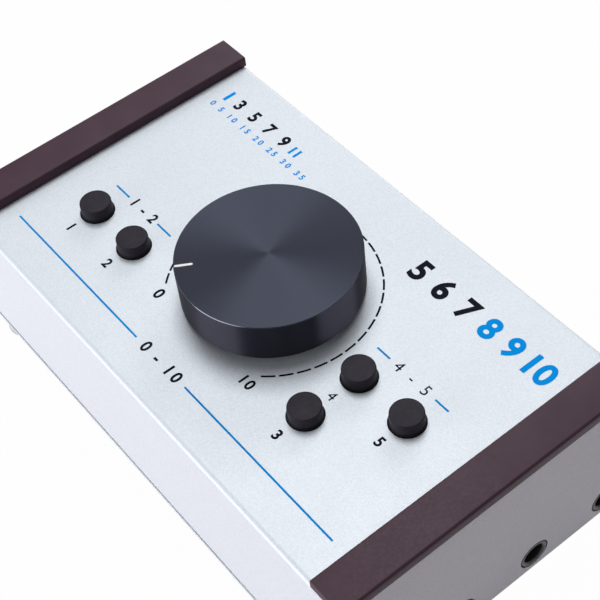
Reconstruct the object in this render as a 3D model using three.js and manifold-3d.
// Desktop studio monitor controller: a folded steel case, a large volume knob and five push buttons.
// Millimetres. X runs right, Y runs back and Z runs up from the surface that the feet stand on.
// The origin is the middle of the footprint.
import * as THREE from 'three';
import { mergeVertices } from 'three/addons/utils/BufferGeometryUtils.js';
import Module from 'manifold-3d';

const wasm = await Module();
wasm.setup();

// Case
const caseWidth = 177;
const caseDepth = 98.1;
const caseHeight = 49;
const sheet = 1.2;
const bendRadius = 1.75;
const lipDepth = 12;

// Clearances
const fitGap = 0.3;
const inlayGap = 0.05;
const overrun = 1;

// Feet
const footHeight = 5;
const footRadius = 5;
const footChamfer = 0.6;
const footInsetX = 7.3;
const footEdgeGap = 0.3;

// End rails
const railWidth = 11.7;
const railHeight = 3.35;
const railEdgeRadius = 0.7;

// Volume knob
const knobRadius = 25.25;
const knobTopHeight = 14.2;
const knobPanelGap = 1.6;
const knobEdge = 0.25;
const knobWall = 2.6;
const knobRoof = 2.5;
const pointerLength = 5;
const pointerWidth = 0.8;
const pointerDepth = 0.5;
const pointerRestDegrees = -122;

// Potentiometer
const potBodySide = 24;
const bushingRadius = 4.5;
const bushingHeight = 5;
const shaftRadius = 3;
const shaftFlatOffset = 1.5;
const rotorRadius = 7;
const rotorThickness = 2.4;
const rotorSeatHeight = 3.6;
const nutAcrossFlats = 12;
const nutHeight = 2;
const washerRadius = 8;
const washerThickness = 0.6;

// Knob hub
const hubRadius = 7;
const hubBushingGap = 0.4;
const hubDiscThickness = 2;
const hubRoof = 0.8;

// Push buttons
const outerColumnShare = 0.6441;
const innerColumnShare = 0.4345;
const frontRow = -19.7;
const backRow = -2.05;
const capRadius = 4.6;
const capHeight = 4;
const capEdge = 0.4;
const capWall = 1;
const capRoof = 1.2;
const flangeWidth = 0.2;
const flangeHeight = 0.8;
const flangeEdge = 0.15;
const skirtDepth = 2.6;
const stemRadius = 1.7;
const stemDepth = 8.5;
const switchSide = 9;
const switchHeight = 7;
const switchFloor = 0.8;

// Control board
const boardThickness = 1.6;
const controlBoardDrop = 12;
const controlBoardSideInset = 16.5;
const controlBoardFrontInset = 15.05;
const controlBoardBackInset = 25.05;
const postInset = 5;
const postRadius = 3;

// Screws
const screwRadius = 1.5;
const screwHeadRadius = 2.8;
const screwHeadHeight = 1.8;
const screwHeadEdge = 0.7;
const recessLength = 3;
const recessWidth = 0.8;
const recessDepth = 1;
const railScrewInset = 19.05;
const caseScrewInset = 48.5;
const caseScrewTail = 1;
const railScrewDepth = 1.9;
const panelScrewDepth = 5;

// Jacks
const jackHoleRadius = 4.85;
const jackBoreRadius = 3.3;
const jackBackWall = 4.5;
const jackLength = 30;
const jackWidth = 16;
const jackHeight = 10.4;
const jackFloorGap = 0.3;
const jackWallGap = 0.85;
const jacksPerSide = 4;

// Main board and its snap-in posts
const mainBoardInsetX = 3;
const mainBoardInsetY = 1.3;
const mainPostInsetX = 54.5;
const mainPostInsetY = 25.05;
const snapNeckRadius = 1.5;
const snapBarbRadius = 2.1;
const snapTipRadius = 1.2;
const snapBarbHeight = 1.6;

// Ribbon between the boards
const ribbonWidth = 20;
const ribbonThickness = 1;
const ribbonX = 24;
const ribbonBulge = 9;
const plugWidth = 24;
const plugThickness = 5;
const plugHeight = 6;

// Mesh fineness
const knobSegments = 72;
const roundSegments = 20;
const smallSegments = 10;
const bendSegments = 5;
const ribbonSteps = 8;

// Levels worked out from the sizes above
const halfWidth = caseWidth / 2;
const halfDepth = caseDepth / 2;
const floorUnder = footHeight;
const floorTop = floorUnder + sheet;
const lipTop = floorTop + sheet;
const panelTop = footHeight + caseHeight;
const panelUnder = panelTop - sheet;
const coverHalfWidth = halfWidth - sheet - fitGap;
const flangeRadius = capRadius + flangeWidth;
const controlBoardTop = panelTop - controlBoardDrop;
const controlBoardUnder = controlBoardTop - boardThickness;
const controlBoardHalfWidth = halfWidth - controlBoardSideInset;
const controlBoardFront = controlBoardFrontInset - halfDepth;
const controlBoardBack = halfDepth - controlBoardBackInset;
const jackAxisHeight = lipTop + jackFloorGap + jackHeight / 2;
const outerJackY = halfDepth - sheet - jackWallGap - jackWidth / 2;
const mainBoardUnder = jackAxisHeight + jackHeight / 2;
const mainBoardTop = mainBoardUnder + boardThickness;
const railCentreX = halfWidth - railWidth / 2;
const knobTop = panelTop + knobTopHeight;
const knobCavityTop = knobTop - knobRoof;
const bushingTop = panelTop + bushingHeight;
const hubBottom = bushingTop + hubBushingGap;
const shaftTop = knobCavityTop - hubRoof - fitGap;
const outerColumn = outerColumnShare * halfWidth;
const innerColumn = innerColumnShare * halfWidth;
const buttonSpots = [
  [-outerColumn, frontRow],
  [-innerColumn, frontRow],
  [innerColumn, frontRow],
  [innerColumn, backRow],
  [outerColumn, backRow],
];
const corners = [[-1, -1], [1, -1], [1, 1], [-1, 1]];

// Materials
function finish(color, roughness, metalness) {
  return new THREE.MeshStandardMaterial({ color, roughness, metalness });
}

const silverPaint = finish(0xd6dce2, 0.45, 0.5);
const railPaint = finish(0x504046, 0.5, 0);
const knobMetal = finish(0x3c3c48, 0.3, 0.8);
const blackPlastic = finish(0x1c1b1f, 0.5, 0);
const hubPlastic = finish(0x2b2b2e, 0.6, 0);
const whiteInlay = finish(0xf4f4f4, 0.5, 0);
const steel = finish(0xb4b6b8, 0.35, 0.9);
const footRubber = finish(0xc9cdcb, 0.7, 0);
const boardGreen = finish(0x1f5a3a, 0.5, 0);
const nylon = finish(0xe8e6dc, 0.6, 0);
const ribbonGrey = finish(0x8d9094, 0.6, 0);

// Closed welded surface with no empty triangles
function weld(geometry) {
  const bare = geometry.clone();
  bare.deleteAttribute('normal');
  bare.deleteAttribute('uv');
  const merged = mergeVertices(bare);
  const index = merged.index.array;
  const kept = [];
  for (let i = 0; i < index.length; i += 3) {
    const [a, b, c] = [index[i], index[i + 1], index[i + 2]];
    if (a !== b && b !== c && c !== a) kept.push(a, b, c);
  }
  merged.setIndex(kept);
  return merged;
}

function toSolid(geometry) {
  const welded = weld(geometry);
  const vertProperties = new Float32Array(welded.attributes.position.array);
  const triVerts = new Uint32Array(welded.index.array);
  return new wasm.Manifold(new wasm.Mesh({ numProp: 3, vertProperties, triVerts }));
}

function toGeometry(solid) {
  const mesh = solid.getMesh();
  const geometry = new THREE.BufferGeometry();
  geometry.setAttribute('position', new THREE.BufferAttribute(new Float32Array(mesh.vertProperties), 3));
  geometry.setIndex([...mesh.triVerts]);
  return geometry;
}

function cut(geometry, tools) {
  return toGeometry(tools.reduce((solid, tool) => solid.subtract(toSolid(tool)), toSolid(geometry)));
}

function join(geometries) {
  const [first, ...others] = geometries.map(toSolid);
  return toGeometry(others.reduce((solid, other) => solid.add(other), first));
}

// Solid of revolution about Z from [radius, height] points that run up the outside
function revolve(points, segments) {
  const profile = points.map(([radius, height]) => new THREE.Vector2(radius, height));
  return weld(new THREE.LatheGeometry(profile, segments).rotateX(Math.PI / 2));
}

function roundBar(radius, bottom, top, segments = roundSegments) {
  const bar = new THREE.CylinderGeometry(radius, radius, top - bottom, segments);
  return bar.rotateX(Math.PI / 2).translate(0, 0, (bottom + top) / 2);
}

function block(low, high) {
  const size = high.map((value, i) => value - low[i]);
  const middle = high.map((value, i) => (value + low[i]) / 2);
  return new THREE.BoxGeometry(...size).translate(...middle);
}

// Outline lies in Y and Z and is swept along X, centred
function sweepAlongX(shape, length) {
  const toCase = new THREE.Matrix4().makeBasis(
    new THREE.Vector3(0, 1, 0),
    new THREE.Vector3(0, 0, 1),
    new THREE.Vector3(1, 0, 0),
  );
  const options = { depth: length, bevelEnabled: false, curveSegments: bendSegments };
  const swept = new THREE.ExtrudeGeometry(shape, options);
  return swept.applyMatrix4(toCase).translate(-length / 2, 0, 0);
}

// Outline lies in X and Z and is swept along Y, centred
function sweepAlongY(shape, length) {
  const toCase = new THREE.Matrix4().makeBasis(
    new THREE.Vector3(1, 0, 0),
    new THREE.Vector3(0, 0, 1),
    new THREE.Vector3(0, -1, 0),
  );
  const options = { depth: length, bevelEnabled: false, curveSegments: bendSegments };
  const swept = new THREE.ExtrudeGeometry(shape, options);
  return swept.applyMatrix4(toCase).translate(0, length / 2, 0);
}

function sweepUp(shape, bottom, top) {
  const options = { depth: top - bottom, bevelEnabled: false, curveSegments: smallSegments };
  return new THREE.ExtrudeGeometry(shape, options).translate(0, 0, bottom);
}

// Section of a folded sheet: outer corners listed with the inside on the left
function foldedSheet(outerCorners) {
  const points = outerCorners.map(([x, y]) => new THREE.Vector2(x, y));
  const along = points.slice(1).map((point, i) => point.clone().sub(points[i]).normalize());
  const inward = along.map((way) => new THREE.Vector2(-way.y, way.x));
  const bends = along.slice(1).map((way, i) => {
    const backward = along[i].clone().multiplyScalar(-bendRadius);
    return points[i + 1].clone().add(backward).addScaledVector(inward[i], bendRadius);
  });
  const arc = (bend, radius) => {
    const from = inward[bend].clone().negate().angle();
    return Array.from({ length: bendSegments + 1 }, (_, step) => {
      const angle = from + (Math.PI / 2) * (step / bendSegments);
      return new THREE.Vector2(Math.cos(angle), Math.sin(angle)).multiplyScalar(radius).add(bends[bend]);
    });
  };
  const last = along.length - 1;
  const outside = bends.flatMap((_, bend) => arc(bend, bendRadius));
  const inside = bends.flatMap((_, bend) => arc(bend, bendRadius - sheet));
  return new THREE.Shape([
    points[0],
    ...outside,
    points[last + 1],
    points[last + 1].clone().addScaledVector(inward[last], sheet),
    ...inside.reverse(),
    points[0].clone().addScaledVector(inward[0], sheet),
  ]);
}

// Circle cut flat on its +X side
function flattedCircle(radius, flatOffset) {
  const half = Math.acos(flatOffset / radius);
  return new THREE.Shape().absarc(0, 0, radius, half, 2 * Math.PI - half, false);
}

// Screw that points up, with its head's upper face at height zero
function screw(length) {
  const body = revolve([
    [0, -screwHeadHeight],
    [screwHeadRadius - screwHeadEdge, -screwHeadHeight],
    [screwHeadRadius, screwHeadEdge - screwHeadHeight],
    [screwHeadRadius, 0],
    [screwRadius, 0],
    [screwRadius, length],
    [0, length],
  ], smallSegments);
  const low = -screwHeadHeight - overrun;
  const high = recessDepth - screwHeadHeight;
  return cut(body, [
    block([-recessLength / 2, -recessWidth / 2, low], [recessLength / 2, recessWidth / 2, high]),
    block([-recessWidth / 2, -recessLength / 2, low], [recessWidth / 2, recessLength / 2, high]),
  ]);
}

const controller = new THREE.Group();

function place(name, geometry, material, x = 0, y = 0, z = 0) {
  const mesh = new THREE.Mesh(geometry, material);
  mesh.name = name;
  mesh.position.set(x, y, z);
  controller.add(mesh);
  return mesh;
}

const jackSpots = Array.from({ length: jacksPerSide }, (_, i) => {
  return THREE.MathUtils.lerp(-outerJackY, outerJackY, i / (jacksPerSide - 1));
});
const railScrewY = halfDepth - railScrewInset;
const railScrewSpots = corners.map(([sx, sy]) => [sx * railCentreX, sy * railScrewY]);
const caseScrewSpots = corners.map(([sx, sy]) => [
  sx * (halfWidth - caseScrewInset),
  sy * (halfDepth - lipDepth / 2),
]);
const mainPostSpots = corners.map(([sx, sy]) => [
  sx * (halfWidth - mainPostInsetX),
  sy * (halfDepth - mainPostInsetY),
]);
const panelPostSpots = corners.map(([sx, sy]) => [
  sx * (controlBoardHalfWidth - postInset),
  sy > 0 ? controlBoardBack - postInset : controlBoardFront + postInset,
]);

// Holes through a level sheet at each spot
function holes(spots, radius, bottom, top) {
  const hole = roundBar(radius, bottom - overrun, top + overrun, smallSegments);
  return spots.map(([x, y]) => hole.clone().translate(x, y, 0));
}

// Lower case half: floor and both side walls, with the jack holes
function addBottomChassis() {
  const section = foldedSheet([
    [-halfWidth, panelTop],
    [-halfWidth, floorUnder],
    [halfWidth, floorUnder],
    [halfWidth, panelTop],
  ]);
  const jackHoles = jackSpots.map((y) => {
    const hole = roundBar(jackHoleRadius, -halfWidth - overrun, halfWidth + overrun);
    return hole.rotateY(Math.PI / 2).translate(0, y, jackAxisHeight);
  });
  const chassis = cut(sweepAlongY(section, caseDepth), [
    ...jackHoles,
    ...holes(caseScrewSpots, screwRadius + fitGap, floorUnder, floorTop),
    ...holes(mainPostSpots, snapNeckRadius + fitGap, floorUnder, floorTop),
  ]);
  place('bottom_chassis', chassis, silverPaint);
}

// Upper case half: control panel, front wall, back wall and the lips that the case screws hold
function addTopCover() {
  const lipEnd = halfDepth - lipDepth;
  const section = foldedSheet([
    [lipEnd, floorTop],
    [halfDepth, floorTop],
    [halfDepth, panelTop],
    [-halfDepth, panelTop],
    [-halfDepth, floorTop],
    [-lipEnd, floorTop],
  ]);
  const buttonHoles = buttonSpots.map(([x, y]) => {
    return roundBar(flangeRadius + fitGap, panelUnder - overrun, panelTop + overrun).translate(x, y, 0);
  });
  const reliefX = halfWidth - bendRadius;
  const lipReliefs = [-1, 1].map((side) => {
    const ends = [side * reliefX, side * (halfWidth + overrun)].sort((a, b) => a - b);
    const low = [ends[0], -halfDepth - overrun, floorTop - overrun];
    return block(low, [ends[1], halfDepth + overrun, floorTop + bendRadius]);
  });
  const cover = cut(sweepAlongX(section, 2 * coverHalfWidth), [
    ...lipReliefs,
    ...buttonHoles,
    roundBar(bushingRadius + fitGap, panelUnder - overrun, panelTop + overrun),
    ...holes(caseScrewSpots, screwRadius + fitGap, floorTop, lipTop),
    ...holes(railScrewSpots, screwRadius + fitGap, panelUnder, panelTop),
  ]);
  place('top_cover', cover, silverPaint);
}

// Painted end rails on top of the case, screwed on from inside
function addRails() {
  const half = railWidth / 2;
  const section = new THREE.Shape();
  section.moveTo(-half, 0);
  section.lineTo(half, 0);
  section.absarc(half - railEdgeRadius, railHeight - railEdgeRadius, railEdgeRadius, 0, Math.PI / 2);
  section.absarc(railEdgeRadius - half, railHeight - railEdgeRadius, railEdgeRadius, Math.PI / 2, Math.PI);
  for (const [side, name] of [[-1, 'rail_left'], [1, 'rail_right']]) {
    const pilotHoles = [-1, 1].map((end) => {
      const hole = roundBar(screwRadius + fitGap, -overrun, railScrewDepth + fitGap, smallSegments);
      return hole.translate(0, end * railScrewY, 0);
    });
    const rail = cut(sweepAlongY(section, caseDepth), pilotHoles);
    place(name, rail, railPaint, side * railCentreX, 0, panelTop);
  }
  const railScrew = screw(sheet + railScrewDepth);
  railScrewSpots.forEach(([x, y], i) => place(`rail_screw_${i + 1}`, railScrew, steel, x, y, panelUnder));
}

// Stick-on feet and the screws that hold the case halves together
function addFeetAndCaseScrews() {
  const foot = revolve([
    [0, 0],
    [footRadius - footChamfer, 0],
    [footRadius, footChamfer],
    [footRadius, footHeight],
    [0, footHeight],
  ], roundSegments);
  const caseScrew = screw(2 * sheet + caseScrewTail);
  const footX = halfWidth - footInsetX;
  const footY = halfDepth - footEdgeGap - footRadius;
  corners.forEach(([sx, sy], i) => {
    place(`foot_${i + 1}`, foot, footRubber, sx * footX, sy * footY);
    place(`case_screw_${i + 1}`, caseScrew, steel, ...caseScrewSpots[i], floorUnder);
  });
}

// Six-millimetre jacks in the side walls, hanging from the main board
function addJacks() {
  const noseLength = sheet + fitGap;
  const body = block([-jackLength, -jackWidth / 2, -jackHeight / 2], [0, jackWidth / 2, jackHeight / 2]);
  const nose = roundBar(jackHoleRadius - fitGap, -overrun, noseLength).rotateY(Math.PI / 2);
  const bore = roundBar(jackBoreRadius, jackBackWall - jackLength, noseLength + overrun, smallSegments);
  const jack = cut(join([body, nose]), [bore.rotateY(Math.PI / 2)]);
  const seat = halfWidth - noseLength;
  jackSpots.forEach((y, i) => {
    place(`jack_right_${i + 1}`, jack, blackPlastic, seat, y, jackAxisHeight);
    place(`jack_left_${i + 1}`, jack, blackPlastic, -seat, y, jackAxisHeight).rotation.z = Math.PI;
  });
}

// Main board above the jacks, on snap-in posts
function addMainBoard() {
  const x = halfWidth - mainBoardInsetX;
  const y = halfDepth - sheet - mainBoardInsetY;
  const board = block([-x, -y, mainBoardUnder], [x, y, mainBoardTop]);
  const postHoles = holes(mainPostSpots, snapNeckRadius + fitGap, mainBoardUnder, mainBoardTop);
  place('main_board', cut(board, postHoles), boardGreen);
  const post = revolve([
    [0, floorUnder - snapBarbHeight],
    [snapTipRadius, floorUnder - snapBarbHeight],
    [snapBarbRadius, floorUnder],
    [snapNeckRadius, floorUnder],
    [snapNeckRadius, floorTop],
    [postRadius, floorTop],
    [postRadius, mainBoardUnder],
    [snapNeckRadius, mainBoardUnder],
    [snapNeckRadius, mainBoardTop],
    [snapBarbRadius, mainBoardTop],
    [snapTipRadius, mainBoardTop + snapBarbHeight],
    [0, mainBoardTop + snapBarbHeight],
  ], smallSegments);
  mainPostSpots.forEach((spot, i) => place(`board_post_${i + 1}`, post, nylon, ...spot));
}

// Control board hung under the panel on four spacers
function addControlBoard() {
  const board = block(
    [-controlBoardHalfWidth, controlBoardFront, controlBoardUnder],
    [controlBoardHalfWidth, controlBoardBack, controlBoardTop],
  );
  const screwHoles = holes(panelPostSpots, screwRadius + fitGap, controlBoardUnder, controlBoardTop);
  place('control_board', cut(board, screwHoles), boardGreen);
  const boreTop = controlBoardTop + panelScrewDepth + fitGap;
  const spacer = cut(roundBar(postRadius, controlBoardTop, panelUnder, smallSegments), [
    roundBar(screwRadius + fitGap, controlBoardTop - overrun, boreTop, smallSegments),
  ]);
  const panelScrew = screw(boardThickness + panelScrewDepth);
  panelPostSpots.forEach((spot, i) => {
    place(`panel_spacer_${i + 1}`, spacer, steel, ...spot);
    place(`panel_screw_${i + 1}`, panelScrew, steel, ...spot, controlBoardUnder);
  });
}

// Flat ribbon with a plug on each board, bowed to one side
function addRibbon() {
  const low = mainBoardTop + plugHeight;
  const high = controlBoardUnder - plugHeight;
  const overlap = plugHeight / 2;
  const route = new THREE.CubicBezierCurve3(
    new THREE.Vector3(0, 0, low - overlap),
    new THREE.Vector3(ribbonBulge, 0, low + overlap),
    new THREE.Vector3(ribbonBulge, 0, high - overlap),
    new THREE.Vector3(0, 0, high + overlap),
  );
  const edge = (side) => Array.from({ length: ribbonSteps + 1 }, (_, step) => {
    const share = step / ribbonSteps;
    const point = route.getPoint(share);
    const way = route.getTangent(share);
    const offset = side * ribbonThickness / 2;
    return new THREE.Vector2(point.x + way.z * offset, point.z - way.x * offset);
  });
  const band = sweepAlongY(new THREE.Shape([...edge(1), ...edge(-1).reverse()]), ribbonWidth);
  const plug = (bottom) => block(
    [-plugThickness / 2, -plugWidth / 2, bottom],
    [plugThickness / 2, plugWidth / 2, bottom + plugHeight],
  );
  const ribbon = join([band, plug(mainBoardTop), plug(controlBoardUnder - plugHeight)]);
  place('link_ribbon', ribbon, ribbonGrey, ribbonX);
}

// Potentiometer with its rotor and shaft, clamped to the panel by a nut
function addPotentiometer() {
  const half = potBodySide / 2;
  const rotorBottom = controlBoardTop + rotorSeatHeight;
  const rotorTop = rotorBottom + rotorThickness;
  const housing = join([
    block([-half, -half, controlBoardTop], [half, half, panelUnder]),
    roundBar(bushingRadius, panelUnder - overrun, bushingTop),
  ]);
  const body = cut(housing, [
    roundBar(shaftRadius + fitGap, rotorTop, bushingTop + overrun),
    roundBar(rotorRadius + fitGap, rotorBottom - fitGap, rotorTop + fitGap),
  ]);
  place('pot_body', body, steel);

  const roundShaft = revolve([
    [0, rotorBottom],
    [rotorRadius, rotorBottom],
    [rotorRadius, rotorTop],
    [shaftRadius, rotorTop],
    [shaftRadius, shaftTop],
    [0, shaftTop],
  ], roundSegments);
  const flatCutter = block(
    [shaftFlatOffset, -shaftRadius - overrun, hubBottom],
    [shaftRadius + overrun, shaftRadius + overrun, shaftTop + overrun],
  );
  place('pot_shaft', cut(roundShaft, [flatCutter]), steel);

  const washer = new THREE.Shape().absarc(0, 0, washerRadius, 0, 2 * Math.PI, false);
  washer.holes.push(new THREE.Path().absarc(0, 0, bushingRadius + fitGap, 0, 2 * Math.PI, false));
  place('pot_washer', sweepUp(washer, panelTop, panelTop + washerThickness), steel);

  const nutCorner = nutAcrossFlats / 2 / Math.cos(Math.PI / 6);
  const hexagon = Array.from({ length: 6 }, (_, i) => {
    return new THREE.Vector2(nutCorner, 0).rotateAround(new THREE.Vector2(), i * Math.PI / 3);
  });
  const nut = new THREE.Shape(hexagon);
  nut.holes.push(new THREE.Path().absarc(0, 0, bushingRadius + fitGap, 0, 2 * Math.PI, false));
  const nutBottom = panelTop + washerThickness;
  place('pot_nut', sweepUp(nut, nutBottom, nutBottom + nutHeight), steel);
}

// Hollow turned knob, its inner hub on the flatted shaft and the white pointer let into its top
function addKnob() {
  const skirtBottom = panelTop + knobPanelGap;
  const cavityRadius = knobRadius - knobWall;
  const shell = revolve([
    [0, knobCavityTop],
    [cavityRadius, knobCavityTop],
    [cavityRadius, skirtBottom],
    [knobRadius - knobEdge, skirtBottom],
    [knobRadius, skirtBottom + knobEdge],
    [knobRadius, knobTop - knobEdge],
    [knobRadius - knobEdge, knobTop],
    [0, knobTop],
  ], knobSegments);
  const turn = THREE.MathUtils.degToRad(pointerRestDegrees);
  const grooveStart = knobRadius - knobEdge - pointerLength;
  const groove = block(
    [grooveStart - inlayGap, -pointerWidth / 2 - inlayGap, knobTop - pointerDepth - inlayGap],
    [knobRadius + overrun, pointerWidth / 2 + inlayGap, knobTop + overrun],
  );
  place('knob_shell', cut(shell, [groove.rotateZ(turn)]), knobMetal);

  const pointer = block(
    [grooveStart, -pointerWidth / 2, knobTop - pointerDepth],
    [knobRadius - knobEdge, pointerWidth / 2, knobTop],
  );
  place('knob_pointer', pointer, whiteInlay).rotation.z = turn;

  const hub = revolve([
    [0, hubBottom],
    [hubRadius, hubBottom],
    [hubRadius, knobCavityTop - hubDiscThickness],
    [cavityRadius - fitGap, knobCavityTop - hubDiscThickness],
    [cavityRadius - fitGap, knobCavityTop],
    [0, knobCavityTop],
  ], roundSegments);
  const flatted = flattedCircle(shaftRadius + fitGap, shaftFlatOffset + fitGap);
  const bore = sweepUp(flatted, hubBottom - overrun, shaftTop + fitGap);
  place('knob_hub', cut(hub, [bore]), hubPlastic);
}

// Push buttons: each cap with its stem slides down into a switch on the control board
function addButtons() {
  const cavityRadius = capRadius - capWall;
  const cavityTop = panelTop + capHeight - capRoof;
  const capTop = panelTop + capHeight;
  const flangeTop = panelTop + flangeHeight;
  const skirtBottom = panelTop - skirtDepth;
  const stemBottom = panelTop - stemDepth;
  const cap = revolve([
    [0, stemBottom],
    [stemRadius, stemBottom],
    [stemRadius, cavityTop],
    [cavityRadius, cavityTop],
    [cavityRadius, skirtBottom],
    [flangeRadius, skirtBottom],
    [flangeRadius, flangeTop - flangeEdge],
    [flangeRadius - flangeEdge, flangeTop],
    [capRadius, flangeTop],
    [capRadius, capTop - capEdge],
    [capRadius - capEdge, capTop],
    [0, capTop],
  ], roundSegments);
  const half = switchSide / 2;
  const switchTop = controlBoardTop + switchHeight;
  const body = cut(block([-half, -half, controlBoardTop], [half, half, switchTop]), [
    roundBar(stemRadius + fitGap, controlBoardTop + switchFloor, switchTop + overrun, smallSegments),
  ]);
  buttonSpots.forEach((spot, i) => {
    place(`button_cap_${i + 1}`, cap, blackPlastic, ...spot);
    place(`switch_body_${i + 1}`, body, hubPlastic, ...spot);
  });
}

addBottomChassis();
addTopCover();
addRails();
addFeetAndCaseScrews();
addJacks();
addMainBoard();
addControlBoard();
addRibbon();
addPotentiometer();
addKnob();
addButtons();

export default controller;
